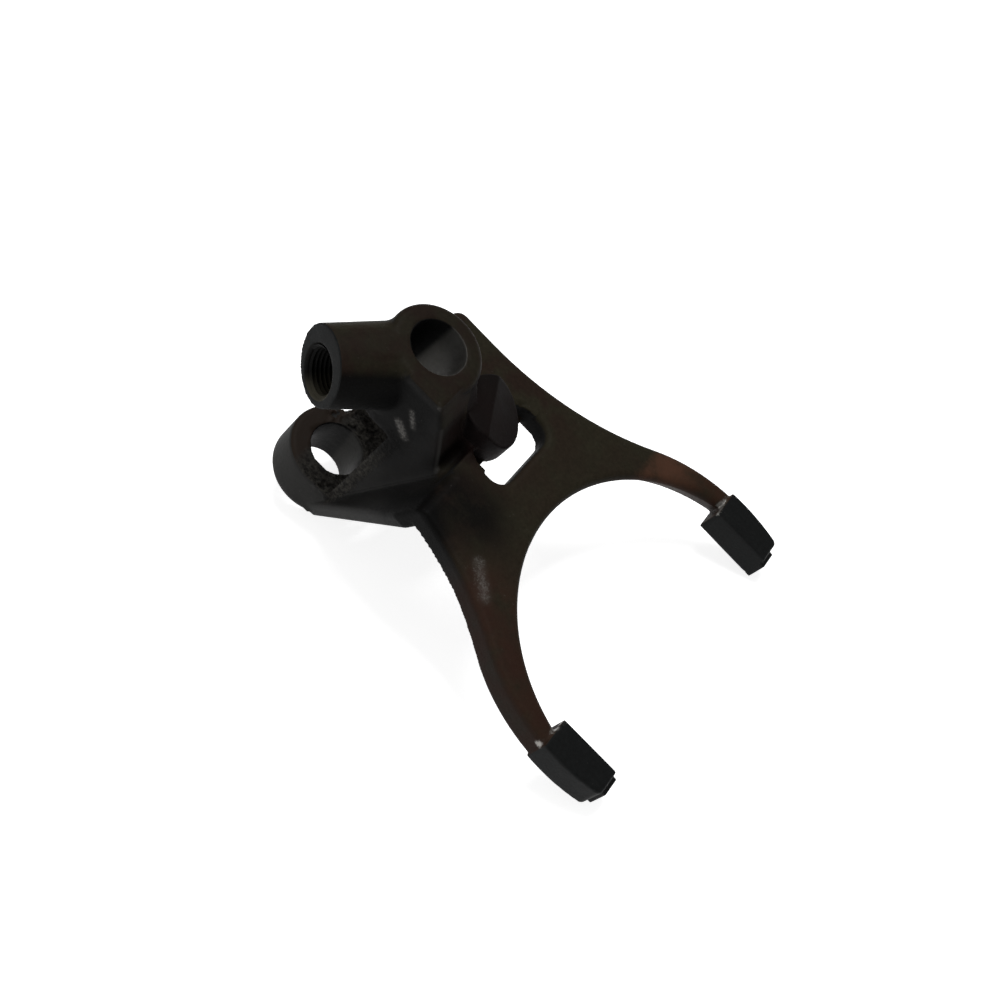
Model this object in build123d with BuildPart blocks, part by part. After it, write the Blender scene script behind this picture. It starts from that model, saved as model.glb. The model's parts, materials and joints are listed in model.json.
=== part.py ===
# Selector fork of a gearbox: one forged and machined piece of steel.
# It slides on a fixed rail, and its two pads run in the groove of a sliding sleeve.
# Millimetres. The rail axis is Z, the hub's upper face is Z = 0, and +X runs
# from the rail towards the middle of the sleeve, so the arms lie at +X.
import os
from math import acos, asin, cos, radians, sin, sqrt, tan

from build123d import *

# Rail bearings: the hub above, the lug below, on one bore
rail_bore_diameter = 19.0
hub_diameter = 32.0
hub_length = 27.5
hub_edge_radius = 2.8
lug_diameter = 33.4
lug_thickness = 19.5
lug_face_drop = 72.5
lug_edge_radius = 1.8
lug_foot_radius = 4.5
bore_chamfer = 0.4

# Detent boss on the hub, drawn with forging draft, and its hole for a threaded spring plug
boss_angle = -125.5
boss_reach = 34.1
boss_diameter = 25.6
boss_drop = 13.1
boss_side_shift = -0.8
boss_draft_angle = 2.0
plug_hole_diameter = 16.0
plug_hole_drop = 15.1
plug_hole_depth = 20.0
plug_hole_chamfer = 0.8
ball_hole_diameter = 9.0

# Flange that carries the two arms
flange_top_drop = 16.5
flange_thickness = 7.5
flange_edge_radius = 2.4
sleeve_offset = 119.9
throat_land = 3.0
throat_draft_angle = 28.0
shoulder_radius = 66.0
shoulder_center_offset = 110.0
shoulder_half_width = 63.3
waist_radius = 115.0
waist_half_width = 33.6
arm_end_offset = 106.0
arm_end_width = 6.3
arm_end_thickness = 11.0
arm_taper_start = 55.0
arm_taper_end = 90.0
root_far_offset = -5.0
root_near_offset = 31.0
root_corner_radius = 4.0

# Window through the flange beside the hub
window_start = 29.0
window_end = 45.0
window_near_side = -6.8
window_far_side = 23.3
window_corner_radius = 5.5
window_ledge_depth = 5.5

# Pads at the arm ends
pad_start = 104.0
pad_end = 126.3
pad_width = 11.2
pad_top_drop = 15.9
pad_outer_step = 0.6
pad_ledge_length = 2.0
pad_ledge_drop = 2.5
pad_thickness = 11.2
pad_tip_corner_radius = 2.0
pad_outer_edge_radius = 0.8

# Round buttress between the hub and the window
buttress_offset = 26.0
buttress_side_shift = 8.0
buttress_radius = 11.8
buttress_top_drop = 8.7
buttress_crest_setback = 1.7
buttress_slope_angle = 30.0
buttress_slope_turn = 27.0

# Neck: a web that leans from the flange's root down to the lug, narrowing on the way
neck_top_outer_offset = 37.0
neck_top_half_width = 35.4
neck_bend_drop = 29.0
neck_bend_radius = 5.0
neck_foot_drop = 88.0
neck_foot_outer_offset = 11.0
neck_foot_half_width = 15.4
neck_thickness = 6.5
neck_edge_radius = 1.5

# Column between the two bearings, behind the gap that is cut round the rail
column_near_back_offset = -3.0
column_far_back_offset = -6.0
column_near_side = -16.4
column_far_side = 22.0
column_setback = 3.0
gap_radius = 18.2

# Pocket in the flange's top beside the shoulder block
pocket_start = 20.0
pocket_end = 29.5
pocket_near_side = -22.0
pocket_far_side = -3.0
pocket_depth = 5.5
pocket_corner_radius = 3.0

# Shoulder block that squares the hub's near corner and slopes down to the flange
block_face_offset = 13.5
block_bend_offset = 18.6
block_bend_drop = 7.0
block_foot_offset = 27.0
block_foot_drop = 23.6
block_far_side = 4.0
block_edge_radius = 1.6

flange_bottom = -(flange_top_drop + flange_thickness)
arm_end_bottom = -(flange_top_drop + arm_end_thickness)
lug_bottom = -(lug_face_drop + lug_thickness)
boss_direction = Vector(cos(radians(boss_angle)), sin(radians(boss_angle)), 0)
boss_sideways = Vector(-sin(radians(boss_angle)), cos(radians(boss_angle)), 0)
boss_plane = Plane(
    origin=boss_direction * boss_reach + boss_sideways * boss_side_shift - Vector(0, 0, boss_drop),
    x_dir=boss_sideways,
    z_dir=boss_direction,
)
plug_plane = Plane(
    origin=boss_direction * boss_reach - Vector(0, 0, plug_hole_drop),
    x_dir=boss_sideways,
    z_dir=boss_direction,
)


shoulder_center = Vector(shoulder_center_offset, shoulder_half_width - shoulder_radius)


def shoulder_height(offset):
    """Half width of the fork on the shoulder arc, at the given distance from the rail."""
    return shoulder_center.Y + sqrt(shoulder_radius**2 - (offset - shoulder_center.X) ** 2)


def outer_edge(side):
    """Draws one arm's outer edge, from the waist to the arm's end, on the given side of the fork."""
    rise = waist_half_width + waist_radius - shoulder_center.Y
    run = sqrt((waist_radius + shoulder_radius) ** 2 - rise**2)
    waist_center = Vector(shoulder_center.X - run, waist_half_width + waist_radius)
    meeting = waist_center + (shoulder_center - waist_center) * (
        waist_radius / (waist_radius + shoulder_radius)
    )
    half_turn = 0.5 * asin((meeting.X - waist_center.X) / waist_radius)
    waist_middle = waist_center + Vector(sin(half_turn), -cos(half_turn)) * waist_radius
    end = Vector(arm_end_offset, shoulder_height(arm_end_offset))
    middle_turn = 0.5 * (
        acos((meeting.X - shoulder_center.X) / shoulder_radius)
        + acos((end.X - shoulder_center.X) / shoulder_radius)
    )
    shoulder_middle = shoulder_center + Vector(cos(middle_turn), sin(middle_turn)) * shoulder_radius
    start = Vector(waist_center.X, waist_half_width)
    points = [start, waist_middle, meeting, shoulder_middle, end]
    start, waist_middle, meeting, shoulder_middle, end = [Vector(p.X, p.Y * side) for p in points]
    ThreePointArc(start, waist_middle, meeting)
    ThreePointArc(meeting, shoulder_middle, end)
    return start, end


def window_outline(mode):
    """Draws the window's outline in the sketch that is open."""
    with Locations(
        (0.5 * (window_start + window_end), 0.5 * (window_near_side + window_far_side))
    ):
        RectangleRounded(
            window_end - window_start,
            window_far_side - window_near_side,
            window_corner_radius,
            mode=mode,
        )


# The throat's circle leaves the arms their width at their ends
throat_radius = sqrt(
    (sleeve_offset - arm_end_offset) ** 2 + (shoulder_height(arm_end_offset) - arm_end_width) ** 2
)
pad_inner_half_gap = shoulder_half_width - pad_width

# Flange and arms, cut by the throat and the window
with BuildPart() as flange:
    with BuildSketch(Plane.XY.offset(-flange_top_drop)):
        with BuildLine():
            far_start, far_end = outer_edge(1)
            near_start, near_end = outer_edge(-1)
            Line(far_end, near_end)
            Polyline(
                far_start,
                (root_far_offset, waist_half_width),
                (root_far_offset, -waist_half_width),
                near_start,
            )
        make_face()
        with Locations((root_near_offset, 0)):
            Rectangle(
                2 * throat_radius,
                2 * throat_radius,
                align=(Align.MAX, Align.MAX),
                mode=Mode.SUBTRACT,
            )
        with Locations((sleeve_offset, 0)):
            Circle(throat_radius, mode=Mode.SUBTRACT)
        window_outline(Mode.SUBTRACT)
    extrude(amount=-arm_end_thickness)
    root_corner = flange.edges().filter_by(Axis.Z).sort_by_distance(
        Vector(root_far_offset, waist_half_width, -flange_top_drop)
    )[0]
    fillet(root_corner, root_corner_radius)
    rims = flange.edges().group_by(Axis.Z)[0] + flange.edges().group_by(Axis.Z)[-1]
    arm_ends = rims.filter_by(Axis.Y).sort_by(Axis.X)[-4:]
    fillet([edge for edge in rims if edge not in arm_ends], flange_edge_radius)
    with BuildSketch(Plane.XZ):
        with BuildLine():
            Polyline(
                (root_far_offset, flange_bottom),
                (arm_taper_start, flange_bottom),
                (arm_taper_end, arm_end_bottom),
                (root_far_offset, arm_end_bottom),
                close=True,
            )
        make_face()
    extrude(amount=shoulder_half_width, both=True, mode=Mode.SUBTRACT)
    with BuildSketch(Plane.XY.offset(-flange_top_drop - throat_land)):
        with Locations((sleeve_offset, 0)):
            Circle(throat_radius)
    extrude(
        amount=-(arm_end_thickness - throat_land),
        taper=-throat_draft_angle,
        mode=Mode.SUBTRACT,
    )

# Buttress: an upright round stub whose top slopes down towards the window
with BuildPart() as buttress:
    with BuildSketch(Plane.XY.offset(flange_bottom)):
        with Locations((buttress_offset, buttress_side_shift)):
            Circle(buttress_radius)
    extrude(amount=-flange_bottom - buttress_top_drop)
    slope_direction = Vector(cos(radians(buttress_slope_turn)), sin(radians(buttress_slope_turn)), 0)
    slope_plane = Plane(
        origin=(buttress_offset, buttress_side_shift, -buttress_top_drop),
        x_dir=slope_direction,
        z_dir=slope_direction.cross(Vector(0, 0, 1)),
    )
    slope_run = buttress_radius + buttress_crest_setback
    with BuildSketch(slope_plane):
        with BuildLine():
            Polyline(
                (-buttress_crest_setback, 0),
                (buttress_radius, 0),
                (buttress_radius, -slope_run * tan(radians(buttress_slope_angle))),
                close=True,
            )
        make_face()
    extrude(amount=buttress_radius, both=True, mode=Mode.SUBTRACT)

# Neck: its front outline tapers, and its side outline leans towards the rail
with BuildPart() as neck:
    with BuildSketch(Plane.YZ):
        with BuildLine():
            Polyline(
                (-neck_top_half_width, -flange_top_drop),
                (neck_top_half_width, -flange_top_drop),
                (neck_top_half_width, -neck_bend_drop),
                (neck_foot_half_width, -neck_foot_drop),
                (-neck_foot_half_width, -neck_foot_drop),
                (-neck_top_half_width, -neck_bend_drop),
                close=True,
            )
        make_face()
    extrude(amount=neck_top_outer_offset + neck_thickness, both=True)
    with BuildSketch(Plane.XZ):
        with BuildLine():
            Polyline(
                (neck_top_outer_offset - neck_thickness, -flange_top_drop),
                (neck_top_outer_offset, -flange_top_drop),
                (neck_foot_outer_offset, -neck_foot_drop),
                (neck_foot_outer_offset - neck_thickness, -neck_foot_drop),
                close=True,
            )
        make_face()
    extrude(amount=neck_top_half_width, both=True, mode=Mode.INTERSECT)
    bend = neck.edges().filter_by(Axis.Y).group_by(Axis.Z)[-1].sort_by(Axis.X)[0]
    fillet(bend, neck_bend_radius)
    flanks = [
        edge
        for edge in neck.edges()
        if abs((edge @ 0).Z - (edge @ 1).Z) > neck_thickness
    ]
    fillet(flanks, neck_edge_radius)

# Column: the thick middle of the neck, square to the near side and hollowed round the rail
with BuildPart() as column:
    for side, back in (
        (column_near_side, column_near_back_offset),
        (column_far_side, column_far_back_offset),
    ):
        with BuildSketch(Plane.XZ):
            with BuildLine():
                Polyline(
                    (back, -flange_top_drop),
                    (neck_top_outer_offset - column_setback, -flange_top_drop),
                    (neck_foot_outer_offset - column_setback, -neck_foot_drop),
                    (back, -neck_foot_drop),
                    close=True,
                )
            make_face()
        extrude(amount=-side)
    with BuildSketch(Plane.XY.offset(-lug_face_drop)):
        Circle(gap_radius)
    extrude(amount=lug_face_drop, mode=Mode.SUBTRACT)

# Shoulder block: squares the hub's near corner and slopes down to the flange
with BuildPart() as block:
    with BuildSketch(Plane.XZ.offset(-column_near_side)):
        with BuildLine():
            Polyline(
                (0, 0),
                (block_face_offset, 0),
                (block_bend_offset, -block_bend_drop),
                (block_foot_offset, -block_foot_drop),
                (block_foot_offset, -hub_length),
                (0, -hub_length),
                close=True,
            )
        make_face()
    extrude(amount=column_near_side - block_far_side)
    ridge = [
        edge
        for edge in block.edges()
        if abs(edge.center().Y - column_near_side) < block_edge_radius
        and edge.center().X > 0.5 * (block_face_offset + block_bend_offset) - block_edge_radius
        and edge.center().Z > -block_foot_drop
    ]
    fillet(ridge, block_edge_radius)

# Pad: the machined block on the end of an arm, whose outer side carries on the shoulder
with BuildPart() as pad:
    pad_middle = 0.5 * (pad_start + pad_end)
    with BuildSketch(Plane.XY.offset(-pad_top_drop)):
        with BuildLine():
            outer_start = Vector(pad_start, shoulder_height(pad_start) + pad_outer_step)
            outer_end = Vector(pad_end, shoulder_height(pad_end) + pad_outer_step)
            outer_middle = Vector(pad_middle, shoulder_height(pad_middle) + pad_outer_step)
            ThreePointArc(outer_start, outer_middle, outer_end)
            Polyline(
                outer_end,
                (pad_end, pad_inner_half_gap),
                (pad_start, pad_inner_half_gap),
                outer_start,
            )
        make_face()
    extrude(amount=-pad_thickness)
    tip_corner = pad.edges().filter_by(Axis.Z).group_by(Axis.X)[-1].sort_by(Axis.Y)[-1]
    fillet(tip_corner, pad_tip_corner_radius)
    outer_rims = pad.faces().sort_by(Axis.Y)[-1].edges().filter_by(GeomType.CIRCLE)
    fillet(outer_rims, pad_outer_edge_radius)
    with BuildSketch(Plane.XY.offset(-pad_top_drop - pad_thickness)):
        with Locations((pad_end, pad_inner_half_gap)):
            Rectangle(
                pad_ledge_length,
                shoulder_height(pad_end) - pad_inner_half_gap - pad_tip_corner_radius,
                align=(Align.MIN, Align.MIN),
            )
    extrude(amount=pad_thickness - pad_ledge_drop)

# Hub with its boss, and the lug below
with BuildPart() as bearings:
    with BuildSketch(Plane.XY):
        Circle(0.5 * hub_diameter)
    extrude(amount=-hub_length)
    fillet(bearings.edges().group_by(Axis.Z)[-1], hub_edge_radius)
    with BuildSketch(boss_plane):
        Circle(0.5 * boss_diameter)
    extrude(amount=-boss_reach, taper=-boss_draft_angle)
    with BuildSketch(Plane.XY):
        Circle(boss_reach + boss_diameter)
    extrude(amount=boss_diameter, mode=Mode.SUBTRACT)
    with BuildSketch(Plane.XY.offset(lug_bottom)):
        Circle(0.5 * lug_diameter)
    extrude(amount=lug_thickness)
    lug_rim = bearings.faces().sort_by_distance((0, 0, -lug_face_drop))[0].edges()
    fillet(lug_rim, lug_edge_radius)
    fillet(bearings.edges().group_by(Axis.Z)[0], lug_foot_radius)

with BuildPart() as fork:
    add(flange.part)
    add(neck.part)
    add(column.part)

    # The window's ledge on the neck, and the pocket, both sunk from the flange's top
    with BuildSketch(Plane.XY.offset(-flange_top_drop)):
        window_outline(Mode.ADD)
    extrude(amount=-window_ledge_depth, mode=Mode.SUBTRACT)
    with BuildSketch(Plane.XY.offset(-flange_top_drop)):
        with Locations(
            (0.5 * (pocket_start + pocket_end), 0.5 * (pocket_near_side + pocket_far_side))
        ):
            RectangleRounded(
                pocket_end - pocket_start, pocket_far_side - pocket_near_side, pocket_corner_radius
            )
    extrude(amount=-pocket_depth, mode=Mode.SUBTRACT)

    add(buttress.part)
    add(pad.part)
    mirror(pad.part, about=Plane.XZ)
    add(bearings.part)
    add(block.part)

    # Gap between the two bearings, cut round the rail
    with BuildSketch(Plane.XY.offset(-hub_length)):
        Circle(gap_radius)
    extrude(amount=-(lug_face_drop - hub_length), mode=Mode.SUBTRACT)

    # Rail bore through both bearings, and the detent drilling through the boss
    with BuildSketch(Plane.XY):
        Circle(0.5 * rail_bore_diameter)
    extrude(amount=lug_bottom, mode=Mode.SUBTRACT)
    with BuildSketch(plug_plane):
        Circle(0.5 * plug_hole_diameter)
    extrude(amount=-plug_hole_depth, mode=Mode.SUBTRACT)
    with BuildSketch(plug_plane):
        Circle(0.5 * ball_hole_diameter)
    extrude(amount=-boss_reach, mode=Mode.SUBTRACT)
    circles = fork.edges().filter_by(GeomType.CIRCLE)
    bore_mouth = circles.sort_by_distance((0.5 * rail_bore_diameter, 0, lug_bottom))[0]
    chamfer(bore_mouth, bore_chamfer)
    plug_mouth = circles.sort_by_distance(
        plug_plane.origin + boss_sideways * 0.5 * plug_hole_diameter
    )[0]
    chamfer(plug_mouth, plug_hole_chamfer)

fork.part.label = "selector_fork"
os.makedirs("parts", exist_ok=True)
export_step(fork.part, "parts/selector_fork.step")
print("solids", len(fork.part.solids()), "volume", round(fork.part.volume, 1))
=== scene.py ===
# %% [markdown]
# # A selector fork, finished for its picture
#
# A selector fork slides along a rail inside a gearbox and pushes a sleeve with the two pads at
# the ends of its arms. This one is a single forging: a hub and a lug on one bore, a boss for a
# spring plug, a window, a leaning neck and two curved arms. The solid comes from the CAD program.
# Blender gives it the softness of a forging, the oxide, the worn spots and the machined places,
# some painted light, shade and highlights, and then the light and the camera.

# %% Load the imported model
import json
from math import cos, pi, radians, sin

import bpy
import numpy as np
from mathutils import Matrix, Vector, noise

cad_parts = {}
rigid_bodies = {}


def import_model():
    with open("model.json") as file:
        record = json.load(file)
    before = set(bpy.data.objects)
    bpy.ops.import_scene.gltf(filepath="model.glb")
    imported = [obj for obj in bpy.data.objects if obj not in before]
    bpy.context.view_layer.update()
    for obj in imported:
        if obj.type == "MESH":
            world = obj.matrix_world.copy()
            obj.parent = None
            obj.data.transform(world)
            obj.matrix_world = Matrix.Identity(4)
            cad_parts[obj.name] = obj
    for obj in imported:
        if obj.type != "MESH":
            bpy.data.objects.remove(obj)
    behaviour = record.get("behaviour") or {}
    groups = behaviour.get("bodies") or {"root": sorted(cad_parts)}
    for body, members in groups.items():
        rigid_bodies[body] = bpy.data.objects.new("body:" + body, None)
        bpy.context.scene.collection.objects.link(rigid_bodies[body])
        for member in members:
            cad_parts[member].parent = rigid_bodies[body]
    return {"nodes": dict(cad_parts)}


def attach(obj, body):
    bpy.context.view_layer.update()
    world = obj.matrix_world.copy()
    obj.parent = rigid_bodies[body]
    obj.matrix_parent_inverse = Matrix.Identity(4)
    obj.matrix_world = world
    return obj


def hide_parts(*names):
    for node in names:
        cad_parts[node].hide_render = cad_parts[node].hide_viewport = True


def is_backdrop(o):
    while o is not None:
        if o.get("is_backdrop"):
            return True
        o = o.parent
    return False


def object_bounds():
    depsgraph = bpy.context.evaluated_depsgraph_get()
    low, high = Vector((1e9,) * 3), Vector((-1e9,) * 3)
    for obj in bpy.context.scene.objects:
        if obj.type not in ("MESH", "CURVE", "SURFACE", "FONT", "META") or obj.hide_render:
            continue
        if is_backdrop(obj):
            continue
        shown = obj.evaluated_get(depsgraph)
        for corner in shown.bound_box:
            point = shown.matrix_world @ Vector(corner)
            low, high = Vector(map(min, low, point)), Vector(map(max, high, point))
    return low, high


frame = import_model()
cad_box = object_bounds()
fork_node = frame["nodes"]["selector_fork"]
print("CAD box in mm:", [[round(v * 1000, 1) for v in corner] for corner in cad_box])

# %% [markdown]
# ## Working in small steps
#
# Nearly every operator acts on all that is selected, so one helper selects a single
# piece. A second one adds a modifier with its settings and applies it at once, which
# keeps the finished mesh plain.


# %% Helpers for pieces
def pick(piece):
    """Selects one piece alone and makes it the active one."""
    bpy.ops.object.select_all(action="DESELECT")
    piece.select_set(True)
    bpy.context.view_layer.objects.active = piece


def shape(piece, kind, **settings):
    """Adds a modifier to a piece, gives it its settings and applies it."""
    pick(piece)
    modifier = piece.modifiers.new(kind.title(), kind)
    for name, value in settings.items():
        setattr(modifier, name, value)
    bpy.ops.object.modifier_apply(modifier=modifier.name)


def settle(piece):
    """Moves a piece's place, turn and size into its mesh."""
    pick(piece)
    bpy.ops.object.transform_apply(location=True, rotation=True, scale=True)


def points(piece):
    """Gives a mesh's points as a table of three columns."""
    table = np.empty(3 * len(piece.data.vertices))
    piece.data.vertices.foreach_get("co", table)
    return table.reshape(-1, 3)


# %% [markdown]
# ## Where things are on the fork
#
# The fork's own frame starts on the axis of the rail bore, at the hub's upper face. Up is
# along the rail, and the arms reach out along X. The boss points away from the arms, to
# one side. These few places are used for the mesh and for the finish.

# %% The boss's direction and the main places, in metres
boss_angle = radians(-125.5)
boss_way = Vector((cos(boss_angle), sin(boss_angle), 0))
boss_side = Vector((-sin(boss_angle), cos(boss_angle), 0))
boss_reach = 0.0341
boss_drop = 0.0131
plug_drop = 0.0151
face_drop = 0.0725
pads_inside = 0.045
print("the boss points along", [round(v, 3) for v in boss_way])

# %% [markdown]
# ## The forging
#
# A hot forging has no sharp inner corners: the die leaves a round hollow wherever the
# boss, the buttress or the neck meets another part. The exact solid has plain corners
# there. They could be rounded edge by edge, but many of those edges run into each other.
# A finer way is to cover a copy with an even net, relax the net, and keep only the
# moves that point out of the metal. Outer edges and faces then stay where they are,
# and the inner corners fill up.

# %% Cover a copy of the solid with an even net
body = bpy.data.objects.new("forged_body", fork_node.data.copy())
bpy.context.scene.collection.objects.link(body)
body.data.materials.clear()
pick(body)
bpy.ops.object.mode_set(mode="EDIT")
bpy.ops.mesh.select_all(action="SELECT")
bpy.ops.mesh.remove_doubles(threshold=0.00001)
bpy.ops.object.mode_set(mode="OBJECT")
shape(body, "REMESH", mode="VOXEL", voxel_size=0.0005)
print("net points:", len(body.data.vertices))

# %% Fill the inner corners, away from the machined places
deepest_fill = 0.0026
bore_edge = 0.0102
hole_edge = 0.0092
pad_edge = 0.1025
net = points(body)
normals = np.empty(net.size)
body.data.vertices.foreach_get("normal", normals)
normals = normals.reshape(-1, 3)
shape(body, "SMOOTH", factor=0.5, iterations=110)
relaxed = points(body)
outward = np.clip(((relaxed - net) * normals).sum(axis=1), 0, deepest_fill)
rail_distance = np.hypot(net[:, 0], net[:, 1])
plug_distance = np.hypot(net @ np.array(boss_side), net[:, 2] + plug_drop)
machined = (
    (rail_distance < bore_edge)
    | ((plug_distance < hole_edge) & (net @ np.array(boss_way) > 0))
    | ((net[:, 0] > pad_edge) & (np.abs(net[:, 1]) > pads_inside))
)
outward[machined] = 0
filled = net + normals * outward[:, None]
print("deepest fill in mm:", round(outward.max() * 1000, 2))

# %% [markdown]
# ## The torn ring on the lug
#
# The cutter that faced the lug ran into the foot of the neck and left a torn, crusty band
# round the bore. Bump shading alone would look flat beside the bore's clean edge, so
# the net's own points are pushed in and out by a noise that fades away from the band.

# %% Tear the band round the lug's bore
band_height = 0.0016
band_inside = 0.0097
band_outside = 0.0195
band_fade = 0.0008
first_angle = -85
last_angle = 150
angle_fade = 15
lumps = 0.0024
crumbs = 0.0011
tear_depth = 0.001
around = np.degrees(np.arctan2(net[:, 1], net[:, 0]))
band = np.clip(1.6 - np.abs(filled[:, 2] + face_drop) / band_height, 0, 1)
band *= np.clip((rail_distance - band_inside) / band_fade, 0, 1)
band *= rail_distance < band_outside
band *= np.clip((around - first_angle) / angle_fade, 0, 1)
band *= np.clip((last_angle - around) / angle_fade, 0, 1)
torn = filled.copy()
for index in np.nonzero(band > 0.02)[0]:
    point = Vector(filled[index])
    bite = 1.5 * noise.noise(point / lumps) + noise.noise(point / crumbs) - 0.2
    torn[index] += normals[index] * bite * band[index] * tear_depth
body.data.vertices.foreach_set("co", torn.ravel())
body.data.update()
print("points in the torn band:", int((band > 0.02).sum()))

# %% [markdown]
# ## The finished body
#
# The even net has far more points than the flat places need. Decimate takes away half of
# them, and smooth shading hides the small faces. The body then rides on the fork's own
# body and takes the place of the CAD node.

# %% Thin out the net and shade it smooth
shape(body, "DECIMATE", ratio=0.5)
pick(body)
bpy.ops.object.shade_smooth()
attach(body, "root")
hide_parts("selector_fork")
print("forged body:", len(body.data.polygons), "faces")

# %% [markdown]
# ## The thread in the boss
#
# A plug screws into the boss. The CAD hole has the tapping size and smooth walls.
# A tap leaves a spiral of sharp crests, so a small triangle is wound round the hole's axis
# with the Screw modifier, one pitch for each turn, and then turned to the boss.

# %% Wind the thread
pitch = 0.0015
turns = 12
steps = 64
crest_radius = 0.00735
root_radius = 0.00812
tooth = root_radius - crest_radius
bpy.ops.object.select_all(action="DESELECT")
bpy.ops.mesh.primitive_circle_add(
    vertices=3,
    radius=1,
    fill_type="NOTHING",
    location=(crest_radius + tooth * 2 / 3, 0, 0),
    rotation=(pi / 2, -pi / 2, 0),
)
thread = bpy.context.active_object
thread.name = "plug_thread"
thread.scale = (pitch / 3**0.5, tooth / 1.5, 1)
settle(thread)
shape(
    thread,
    "SCREW",
    axis="Z",
    angle=2 * pi,
    screw_offset=pitch,
    iterations=turns,
    steps=steps,
    render_steps=steps,
    use_merge_vertices=True,
    merge_threshold=0.000001,
)
print("wound:", turns, "turns,", round(turns * pitch * 1000, 1), "mm")

# %% Turn the thread to the boss and close its ends
sunk = 0.0006
mouth = boss_way * (boss_reach - sunk) - Vector((0, 0, plug_drop))
turn = Matrix((-boss_side, Vector((0, 0, 1)), -boss_way)).transposed()
thread.matrix_world = Matrix.Translation(mouth) @ turn.to_4x4()
settle(thread)
pick(thread)
bpy.ops.object.mode_set(mode="EDIT")
bpy.ops.mesh.select_all(action="SELECT")
bpy.ops.mesh.fill_holes(sides=4)
bpy.ops.mesh.select_all(action="SELECT")
bpy.ops.mesh.normals_make_consistent(inside=False)
bpy.ops.object.mode_set(mode="OBJECT")
bpy.ops.object.shade_smooth_by_angle(angle=radians(35))
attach(thread, "root")
print("thread:", len(thread.data.polygons), "faces")

# %% [markdown]
# ## Shader words
#
# A finish is a sum of simple rules: here it is rust, there it is bright. Two small
# classes let the rules be written as arithmetic. `Wire` stands for one output of a node,
# and a sum or product of wires adds a Math node. `Finish` holds one material or one sky and
# has a single method that adds any other node.


# %% Wires
class Wire:
    """One output of a node. Arithmetic on it adds Math nodes."""

    def __init__(self, finish, socket):
        self.finish = finish
        self.socket = socket

    def math(self, operation, *values):
        """Adds one Math node."""
        inputs = dict(enumerate(values))
        return self.finish.node("ShaderNodeMath", {"operation": operation}, inputs)

    def __add__(self, other):
        return self.math("ADD", self, other)

    def __sub__(self, other):
        return self.math("SUBTRACT", self, other)

    def __rsub__(self, other):
        return self.math("SUBTRACT", other, self)

    def __mul__(self, other):
        return self.math("MULTIPLY", self, other)

    def __pow__(self, other):
        return self.math("POWER", self, other)

    def __lt__(self, other):
        return self.math("LESS_THAN", self, other)

    def __gt__(self, other):
        return self.math("GREATER_THAN", self, other)

    def __or__(self, other):
        """Gives the larger of two masks, which is where either of them holds."""
        return self.math("MAXIMUM", self, other)

    def __abs__(self):
        return self.math("ABSOLUTE", self)

    __radd__ = __add__
    __rmul__ = __mul__


# %% Finishes
class Finish:
    """The nodes of one material or sky, and the ways of adding to them."""

    def __init__(self, owner):
        self.owner = owner
        self.owner.use_nodes = True
        self.tree = owner.node_tree
        self.tree.nodes.clear()

    def node(self, kind, settings=None, inputs=None, out=0):
        """Adds a node, sets it up, feeds its sockets and gives the outputs that are asked for."""
        made = self.tree.nodes.new(kind)
        for name, value in (settings or {}).items():
            setattr(made, name, value)
        for name, value in (inputs or {}).items():
            if isinstance(value, Wire):
                self.tree.links.new(value.socket, made.inputs[name])
            else:
                made.inputs[name].default_value = value
        if isinstance(out, tuple):
            return [Wire(self, made.outputs[name]) for name in out]
        return Wire(self, made.outputs[out])

    def between(self, value, low, high):
        """Rises smoothly from 0 to 1 while the value goes from low to high."""
        return self.node(
            "ShaderNodeMapRange",
            {"interpolation_type": "SMOOTHSTEP"},
            {"Value": value, "From Min": low, "From Max": high},
            "Result",
        )

    def noise(self, place, size, detail=3.0, rough=0.55):
        """A soft random pattern whose spots are about as wide as size."""
        return self.node(
            "ShaderNodeTexNoise",
            None,
            {"Vector": place, "Scale": 1 / size, "Detail": detail, "Roughness": rough},
            "Fac",
        )

    def blend(self, amount, first, second):
        """Mixes two colours."""
        first, second = [c if isinstance(c, Wire) else (*c, 1) for c in (first, second)]
        return self.node(
            "ShaderNodeMix", {"data_type": "RGBA"}, {0: amount, 6: first, 7: second}, 2
        )

    def arrow(self, operation, first, second, out="Vector"):
        """Works with two vectors, or a vector and a number."""
        key = "Scale" if operation == "SCALE" else 1
        return self.node(
            "ShaderNodeVectorMath", {"operation": operation}, {0: first, key: second}, out
        )

    def streak(self, spot, start, end, width):
        """Is 1 along a line on the piece and fades to 0 at the given width from it."""
        start, end = Vector(start), Vector(end)
        way = end - start
        reach = self.arrow("SUBTRACT", spot, start)
        share = self.arrow("DOT_PRODUCT", reach, way, "Value") * (1 / way.length_squared)
        share = self.node("ShaderNodeClamp", None, {"Value": share}, "Result")
        foot = self.arrow("SCALE", way, share)
        gap = self.arrow("DISTANCE", reach, foot, "Value")
        return 1 - self.between(gap, 0.1 * width, width)

    def place(self):
        """Gives the point on the piece in millimetres."""
        return self.arrow("SCALE", self.node("ShaderNodeTexCoord", out="Object"), 1000.0)

    def wear(self, pieces, sockets):
        """Ends the material in its shader, with constants set on the shader itself."""
        shader = self.node("ShaderNodeBsdfPrincipled", None, sockets)
        self.node("ShaderNodeOutputMaterial", None, {"Surface": shader}, ())
        for piece in pieces:
            piece.data.materials.append(self.owner)
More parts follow.
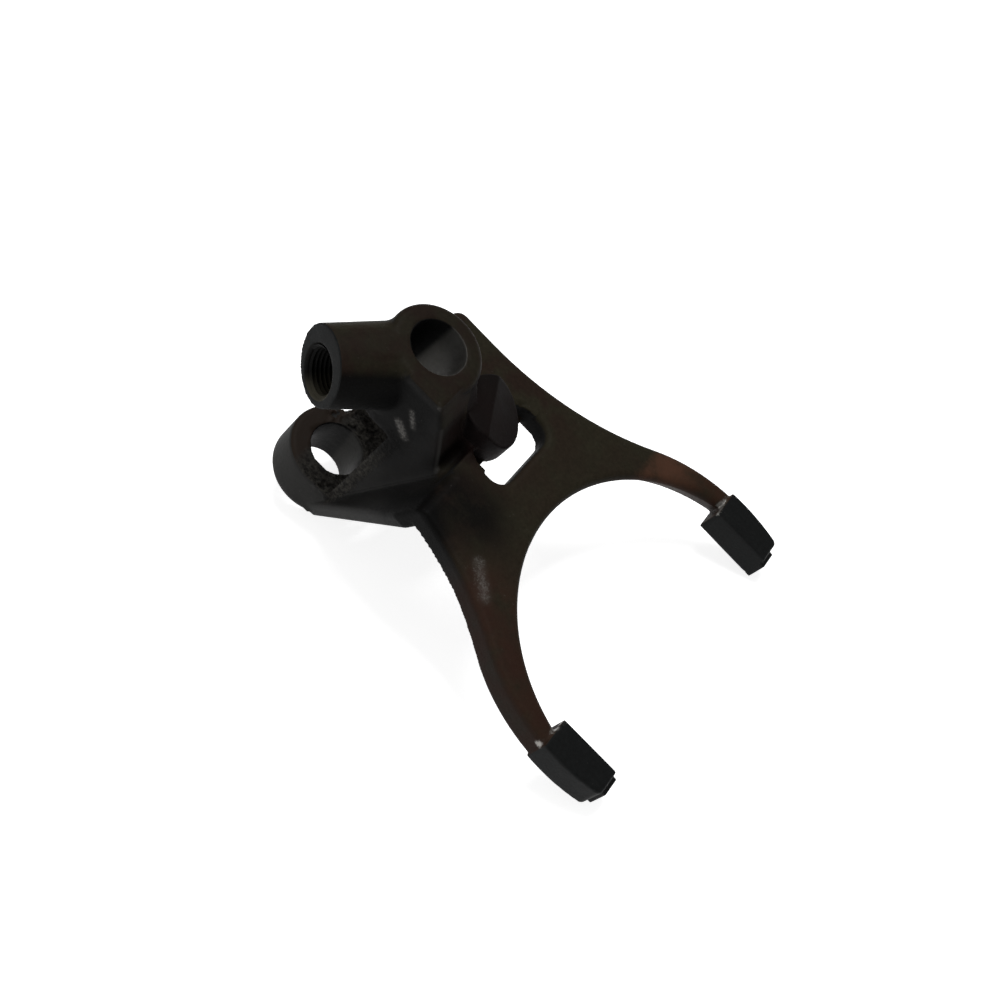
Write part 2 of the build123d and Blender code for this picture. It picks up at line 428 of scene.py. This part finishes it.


# %% [markdown]
# ## Old iron
#
# The forging is nearly black. The upper faces have a khaki and brown oxide, with the warm light
# on them partly painted into it. The sides are a cooler grey, and the arms have turned reddish.
# Shade and highlights are painted in at several places as well.
# The pads, the bores and the boss's end were cut by machine and are cleaner. A painted
# picture could carry all this, but the mesh would have to be unwrapped for it. Here each
# place is a mask over the same metal, worked out in millimetres from where a point lies.

# %% Where a point of the iron lies
iron = Finish(bpy.data.materials.new("old_iron"))
spot = iron.place()
x, y, z = iron.node("ShaderNodeSeparateXYZ", None, {"Vector": spot}, ("X", "Y", "Z"))
facing = iron.node("ShaderNodeTexCoord", out="Normal")
tilt = iron.node("ShaderNodeSeparateXYZ", None, {"Vector": facing}, "Z")
depth = z * -1
rail = (x * x + y * y) ** 0.5
along = x * boss_way.x + y * boss_way.y
across = x * boss_side.x + y * boss_side.y
above_boss = z + boss_drop * 1000
above_plug = z + plug_drop * 1000
plug = (across * across + above_plug * above_plug) ** 0.5
print("place on the fork:", len(iron.tree.nodes), "nodes")

# %% Patterns of the iron, from large spots to fine grain
mottle = iron.between(iron.noise(spot, 14.0, 3.0, 0.6), 0.38, 0.62)
coarse = iron.noise(spot, 9.0, 4.0, 0.6)
fine = iron.noise(spot, 1.3, 4.0, 0.6)
flakes = iron.noise(spot, 0.8, 3.0, 0.7)
grain = iron.noise(spot, 0.35, 2.0)
print("with patterns:", len(iron.tree.nodes), "nodes")

# %% The machined places
bore_wall = 9.8
hole_wall = 8.9
hole_start = 10
boss_face = 33.85
pads_start = 104.1
in_bore = rail < bore_wall
in_hole = (plug < hole_wall) * (along > hole_start)
boss_end = along > boss_face
pads = (x > pads_start) * (abs(y) > pads_inside * 1000)
print("with machined places:", len(iron.tree.nodes), "nodes")

# %% [markdown]
# ## The oxide, with painted light and shade
#
# Old oxide is not one colour. On the upper faces of the flange, the hub and the boss, olive and
# brown spots lie side by side, and their khaki also stands partly for the warm light that falls
# on them, painted in. The walls below are plain grey, a little paler towards the lug with painted
# light from the table, and what faces down is darkened with painted shade. How far a face looks
# up decides between them, and a coarse noise keeps each of them uneven.

# %% Colour of the oxide, with painted light and shade
side_dark, side_pale = (0.0065, 0.0065, 0.0065), (0.0185, 0.018, 0.0175)
# The low colours are paler with painted light bounced up from the table.
low_bounce_dark, low_bounce_pale = (0.0095, 0.0093, 0.0090), (0.0270, 0.0262, 0.0250)
olive_dark, olive_pale = (0.0095, 0.0083, 0.0046), (0.0265, 0.0230, 0.0138)
brown_dark, brown_pale = (0.0105, 0.0060, 0.0041), (0.0240, 0.0148, 0.0102)
underside_shade = (0.003, 0.003, 0.003)
side_tone_and_bounce = iron.blend(
    iron.between(depth, 30.0, 70.0),
    iron.blend(coarse, side_dark, side_pale),
    iron.blend(coarse, low_bounce_dark, low_bounce_pale),
)
olive = iron.blend(fine, olive_dark, olive_pale)
brown = iron.blend(fine, brown_dark, brown_pale)
khaki = iron.blend(mottle * (1 - iron.between(x, 30.0, 60.0) * 0.6), olive, brown)
# Painted warm light: khaki where a face looks up.
lit_upper_skin = iron.between(tilt, 0.2, 0.8) * iron.between(z, -40.0, -24.0)
arm_skin = iron.between(x, 46.0, 62.0)
colour = iron.blend(lit_upper_skin | arm_skin * 0.85, side_tone_and_bounce, khaki)
boss_skin = iron.between(along, 14.0, 22.0) * (1 - iron.between(abs(above_boss), 13.5, 15.0))
colour = iron.blend(boss_skin * iron.between(tilt, -0.5, 0.3) * 0.8, colour, khaki)
# Painted shade on the faces that look down.
downward = 1 - iron.between(tilt, -0.7, -0.1)
colour = iron.blend(downward * 0.6, colour, underside_shade)
print("with oxide:", len(iron.tree.nodes), "nodes")

# %% [markdown]
# ## Heat on the arms
#
# The arms have the colours of heated iron, perhaps because the pads beside them were
# hardened. The far arm turns orange with a clear start and is browner again at its pad.
# The near arm is reddish all along, and the flanks of both stay dark.

# %% Colour of the heated arms
near_tint = (0.034, 0.012, 0.0085)
far_start, far_end = (0.066, 0.030, 0.018), (0.030, 0.0135, 0.008)
flank_brown = (0.0075, 0.0045, 0.0036)
near_arm = (1 - iron.between(y + coarse * 8, -34.0, -20.0)) * iron.between(x, 44.0, 60.0)
far_arm = iron.between(y + coarse * 6, 22.0, 30.0) * iron.between(x + fine * 2, 74.0, 78.0)
heat = iron.between(coarse, 0.2, 0.65) * (1 - pads)
colour = iron.blend(heat * near_arm * 0.55, colour, near_tint)
far_tint = iron.blend(iron.between(x, 82.0, 97.0), far_start, far_end)
colour = iron.blend(heat * far_arm * 0.9, colour, far_tint)
flank = (1 - iron.between(tilt, -0.3, 0.95)) * arm_skin
colour = iron.blend(flank * 0.6, colour, flank_brown)
print("with heat:", len(iron.tree.nodes), "nodes")

# %% [markdown]
# ## Painted shade in the sheltered places
#
# Painted shade darkens the places that light hardly reaches: the root of the near arm, in uneven
# patches, the pocket beside the hub and the slope round the buttress, which has a reddish cast.
# The hub's upper face is a touch darker too. A soft streak between two points marks each of these
# places.

# %% Painted shade at the root, in the pocket and round the buttress
sheltered_shade = (0.0018, 0.0016, 0.0014)
reddish_shade = (0.0075, 0.0036, 0.0032)
hub_top_darker = (0.006, 0.005, 0.004)
root = iron.streak(spot, (30, -24, -17), (44, -22, -17), 19.0)
root = root * (0.5 + iron.between(coarse + fine * 0.4, 0.5, 0.8) * 0.5)
pocket = iron.streak(spot, (24, -12, -20), (30, -4, -22), 9.0)
# Painted shade at the root of the near arm and in the pocket beside the hub.
colour = iron.blend(root * 0.9 | pocket * 0.95, colour, sheltered_shade)
red = iron.streak(spot, (23, -9, -12), (36, 2, -18), 11.0)
# Reddish painted shade on the slope round the buttress.
colour = iron.blend(red * 0.95, colour, reddish_shade)
colour = iron.blend(iron.between(z, -3.0, -0.5) * 0.35, colour, hub_top_darker)
print("with soot:", len(iron.tree.nodes), "nodes")

# %% [markdown]
# ## Crust on the lug
#
# The torn ring has dark pits and paler, khaki crumbs. It covers the lug's face and
# the edge of the gap above it, and its outline is ragged, because flakes are added to the
# distances that bound it. The rim on the far side from the arms is smooth and brown.

# %% Colour of the crust
rim_brown = (0.016, 0.0115, 0.0088)
pit, crumb = (0.0045, 0.0042, 0.0038), (0.037, 0.0345, 0.030)
lug_face = 1 - iron.between(z - flakes * 14.0 - coarse * 8.0, -81.5, -79.5)
lug_face = lug_face * (z > -73.4) * (rail > 9.7)
lug_face = lug_face * (1 - iron.between(rail + flakes * 6.0, 23.5, 25.5))
ring = lug_face * iron.between(x + coarse * 8, -4.0, 2.0)
colour = iron.blend(lug_face * (1 - ring), colour, rim_brown)
torn_edge = iron.streak(spot, (9.3, -16.4, -67.0), (9.7, -16.4, -28.0), 6.5)
torn_edge = iron.between(torn_edge * 0.55 + flakes, 0.72, 0.95) * (1 - in_bore)
crust = ring | torn_edge
crumbly = iron.between(iron.noise(spot, 1.4, 4.0, 0.7), 0.32, 0.68)
colour = iron.blend(crust, colour, iron.blend(crumbly, pit, crumb))
print("with crust:", len(iron.tree.nodes), "nodes")

# %% [markdown]
# ## Painted shade under the boss
#
# The side of the boss that looks towards the arms and down is almost black, and so are the wall
# under it and the buttress: they lie in deep shade. The lamps alone would leave them grey, so the
# shade is painted with masks: one measures how far a point lies round the boss to that side, and
# one takes in what lies inside the buttress's radius.

# %% Painted shade under the boss and on the buttress
boss_shade = (0.0012, 0.0012, 0.0012)
buttress_shade_dark, buttress_shade_red = (0.0020, 0.0019, 0.0020), (0.0065, 0.0035, 0.0034)
buttress_x, buttress_y = 26, 8
buttress_radius = 12.2
buttress_foot = -16.2
turned_down = across * 0.931 - above_boss * 0.364 + coarse * 3
under_boss = iron.between(turned_down, -1.5, 3.5) * iron.between(along + coarse * 5, 3.0, 10.0)
under_boss = under_boss * (1 - iron.between(depth + flakes * 6, 34.0, 48.0)) * (z > -62)
under_boss = under_boss * (1 - iron.between(z, -4.0, -1.0))
# Painted shade, almost black, under the boss.
colour = iron.blend(under_boss * 0.97, colour, boss_shade)
buttress = ((x - buttress_x) ** 2 + (y - buttress_y) ** 2) ** 0.5 < buttress_radius
buttress = buttress * (z > buttress_foot)
buttress_shade_tone = iron.blend(coarse, buttress_shade_dark, buttress_shade_red)
# Painted shade on the buttress, dark with a reddish cast.
colour = iron.blend(buttress * 0.92, colour, buttress_shade_tone)
print("with the boss's underside:", len(iron.tree.nodes), "nodes")

# %% [markdown]
# ## Cut places
#
# Machined iron is smoother and darker than the skin. The pads and the boss's end are plain cut
# faces. Both rail bores are paler. One side of each is in deep shade, which soft lamps do not
# give, so a mask with a slanting edge paints it, and the lug's bore gets some painted shade all
# round as well. In the plug's hole the thread is painted dark as shade, and its crests get
# painted light on the lower side, where light falls in.

# %% Pads, boss end, bores and hole
cut_dark, cut_pale = (0.0048, 0.0051, 0.0051), (0.0108, 0.0116, 0.0116)
bore_dark, bore_pale = (0.030, 0.029, 0.027), (0.075, 0.072, 0.066)
hub_shade, lug_shade = (0.003, 0.003, 0.003), (0.006, 0.006, 0.006)
crest_shade, crest_lit = (0.0025, 0.0024, 0.0022), (0.036, 0.033, 0.024)
middle = -50
colour = iron.blend(pads | boss_end, colour, iron.blend(fine, cut_dark, cut_pale))
hub_shaded = 1 - iron.between(x - z * 0.065, -2.4, -0.2)
lug_shaded = 1 - iron.between(x + z * 0.076, -7.2, -4.8)
bore_tone = iron.blend(coarse, bore_dark, bore_pale)
bore_tone = iron.blend((z > middle) * hub_shaded * 0.95, bore_tone, hub_shade)
bore_tone = iron.blend((z < middle) * (0.58 + lug_shaded * 0.38), bore_tone, lug_shade)
colour = iron.blend(in_bore, colour, bore_tone)
# Painted light on the crests of the lower side, painted shade on the rest of the thread.
lit_crests = iron.blend(iron.between(turned_down, 1.0, 8.0), crest_shade, crest_lit)
colour = iron.blend(in_hole, colour, lit_crests)
print("with cut places:", len(iron.tree.nodes), "nodes")

# %% [markdown]
# ## Bright scuffs and painted highlights
#
# Where other parts rubbed or a tool slipped, bright metal shows, and where light catches an edge
# a painted highlight stands for the glint. On the near arm and at the steps to the pads the marks
# are both; at the hub's corner and on the wall beside the crust they are painted highlights. Each
# is a short line with a width and a strength, broken up by specks of two sizes. A dimmer painted
# highlight follows a lit edge beside the buttress.

# %% Scuffs and painted highlights on the edges and the wall
bright_metal_and_glint = (0.26, 0.25, 0.235)
edge_glint_grey = (0.050, 0.048, 0.046)
scuffs_and_glints = {
    "near arm": ((54.5, -34.1, -17), (62.3, -41.2, -17), 4.6, 0.32),
    "step to the far pad": ((103.2, 51.5, -17), (103.2, 62.5, -18), 2.2, 0.9),
    "step to the near pad": ((103.0, -62.5, -19), (103.6, -56.0, -17), 2.4, 0.9),
    "near pad's corner": ((104.5, -51.5, -17), (104.5, -53.5, -17), 1.8, 0.8),
    "hub's corner": ((12.2, -15.4, -0.6), (13.6, -16.2, -1.0), 1.5, 0.25),
    "wall, broad": ((7.7, -16.4, -18.6), (12.0, -16.4, -22.0), 3.2, 0.35),
    "wall, narrow": ((8.2, -16.4, -10.9), (12.0, -16.4, -15.7), 2.2, 0.3),
}
speck = iron.noise(spot, 0.6, 3.0, 0.75) * 0.55 + iron.noise(spot, 2.2, 3.0, 0.7) * 0.45
bare_and_glint = 0.0
for start, end, width, strength in scuffs_and_glints.values():
    line = iron.streak(spot, start, end, width)
    flecks = iron.between(line * (0.12 + strength * 0.3) + speck, 0.62, 0.86)
    bare_and_glint = (flecks * 0.8 + line * line * 0.2) * strength | bare_and_glint
# Bright metal that is partly wear and partly painted highlight.
colour = iron.blend(bare_and_glint, colour, bright_metal_and_glint)
# A dimmer painted highlight on a lit edge beside the buttress.
edge_glint = iron.streak(spot, (19.0, -16.0, -7.5), (26.6, -15.8, -23.0), 1.3)
colour = iron.blend(edge_glint * 0.6, colour, edge_glint_grey)
print("scuffs:", ", ".join(scuffs_and_glints))

# %% [markdown]
# ## Relief and gloss
#
# The skin is faintly uneven, as forgings are, and the crust has deeper relief. Cut places, bare
# metal and the painted highlights are smoother. Old oxide has little shine, so the reflection is
# set low for the whole piece.

# %% The finished iron
height = coarse * 0.5 + fine * 0.3 + grain * 0.12 + crust * crumbly * 0.8
relief = iron.node(
    "ShaderNodeBump",
    None,
    {"Strength": 0.7, "Distance": 0.0004, "Height": height},
)
sockets = {
    "Base Color": colour,
    "Roughness": 0.46 + coarse * 0.16 + fine * 0.12 - pads * 0.12 - in_bore * 0.1 - bare_and_glint * 0.2,
    "Metallic": bare_and_glint | in_bore * 0.5,
    "Specular IOR Level": 0.05,
    "Normal": relief,
}
iron.wear([body, thread], sockets)
print("old iron:", len(iron.tree.nodes), "nodes")

# %% [markdown]
# ## The table
#
# The fork lies on a white table: it rests on the lower rim of the lug and on the tips of its
# pads. The table is tilted against the fork's own frame, so its plane goes through the
# lowest points in that direction. A table that is lit brightly enough to look white would
# wash out the fork, so it glows a little, but only for the eye and in reflections. Its
# back is clear, so that it hides nothing from below.

# %% Lay the table under the fork
table_up = Vector((-0.4826, 0, 0.8757)).normalized()
table_size = 6
table_gap = 0.0002
lowest = float((points(body) @ np.array(table_up)).min())
bpy.ops.object.select_all(action="DESELECT")
bpy.ops.mesh.primitive_grid_add(x_subdivisions=8, y_subdivisions=8, size=table_size)
table = bpy.context.active_object
table.name = "table"
table.rotation_mode = "QUATERNION"
table.rotation_quaternion = table_up.to_track_quat("Z", "Y")
table.location = table_up * (lowest - table_gap)
settle(table)
print("table height along its own up in mm:", round(lowest * 1000, 1))

# %% White for the table
cloth_white = (0.8, 0.8, 0.8, 1)
glow_level = 0.78
white = Finish(bpy.data.materials.new("white_table"))
eye, mirrored, through = white.node(
    "ShaderNodeLightPath",
    out=("Is Camera Ray", "Is Glossy Ray", "Is Transmission Ray"),
)
seen = eye | mirrored | through
cloth = white.node("ShaderNodeBsdfDiffuse", None, {"Color": cloth_white})
glow = white.node("ShaderNodeEmission", None, {"Strength": seen * glow_level})
front = white.node("ShaderNodeAddShader", None, {0: cloth, 1: glow})
clear = white.node("ShaderNodeBsdfTransparent")
behind = white.node("ShaderNodeNewGeometry", out="Backfacing")
sheet = white.node("ShaderNodeMixShader", None, {0: behind, 1: front, 2: clear})
white.node("ShaderNodeOutputMaterial", None, {"Surface": sheet}, ())
table.data.materials.append(white.owner)
table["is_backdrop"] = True
print("white table:", len(white.tree.nodes), "nodes")

# %% [markdown]
# ## The light
#
# The room is dim and even. One soft lamp hangs over the table and lights the upper faces,
# and a second, weaker one stands in front, so that the walls towards the camera do not
# go black. The sky looks white to the camera and gives little light.

# %% The sky
room_level = 0.22
studio = Finish(bpy.data.worlds.new("studio"))
bpy.context.scene.world = studio.owner
looked_at = studio.node("ShaderNodeLightPath", out="Is Camera Ray")
sky_level = looked_at * (1 - room_level) + room_level
sky = studio.node("ShaderNodeBackground", None, {"Color": (1, 1, 1, 1), "Strength": sky_level})
studio.node("ShaderNodeOutputWorld", None, {"Surface": sky}, ())
print("sky:", len(studio.tree.nodes), "nodes")


# %% The lamps
def lamp(name, place, watts, size):
    """Hangs a soft square lamp that faces the fork."""
    middle_of_fork = Vector((0.06, 0, -0.03))
    bpy.ops.object.light_add(type="AREA", location=place)
    made = bpy.context.active_object
    made.name = name
    made.data.energy = watts
    made.data.size = size
    made.rotation_mode = "QUATERNION"
    made.rotation_quaternion = (made.location - middle_of_fork).to_track_quat("Z", "Y")
    print("lamp:", name, watts, "W")


lamp("overhead", table_up * 0.9 + Vector((0.05, 0.2, 0)), 6.6, 0.45)
lamp("front", Vector((-0.25, -0.9, 0.0)), 3.4, 0.5)

# %% [markdown]
# ## The camera
#
# The camera looks down on the fork from the side of the boss. Its three axes and its
# place were fitted to the circles of the hub, the lug and the boss and to the fork's
# outline, with a lens that is a little longer than normal.

# %% The camera
right = Vector((0.69638, 0.51734, 0.49753))
above = Vector((-0.71302, 0.57744, 0.39782))
away = Vector((-0.08148, -0.63163, 0.771))
camera_place = Vector((0.004299, -0.337684, 0.382072))
camera_turn = Matrix((right, above, away)).transposed()
bpy.ops.object.camera_add()
camera = bpy.context.active_object
camera.matrix_world = Matrix.Translation(camera_place) @ camera_turn.to_4x4()
camera.data.lens = 60.6
camera.data.sensor_width = 36
camera.data.clip_start = 0.01
bpy.context.scene.camera = camera
bpy.context.scene.view_settings.view_transform = "Standard"
print("camera:", [round(v * 1000, 1) for v in camera.matrix_world.translation])

# %% [markdown]
# ## Sizes
#
# The box of the exact solid and the box of the finished fork are measured and put side by side in
# one table, and the second is printed like the first.

# %% The two boxes, side by side
boxes = {"cad": cad_box, "visual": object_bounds()}
sizes = {name: [list(corner) for corner in box] for name, box in boxes.items()}
print("visual box in mm:", [[round(v * 1000, 1) for v in corner] for corner in sizes["visual"]])
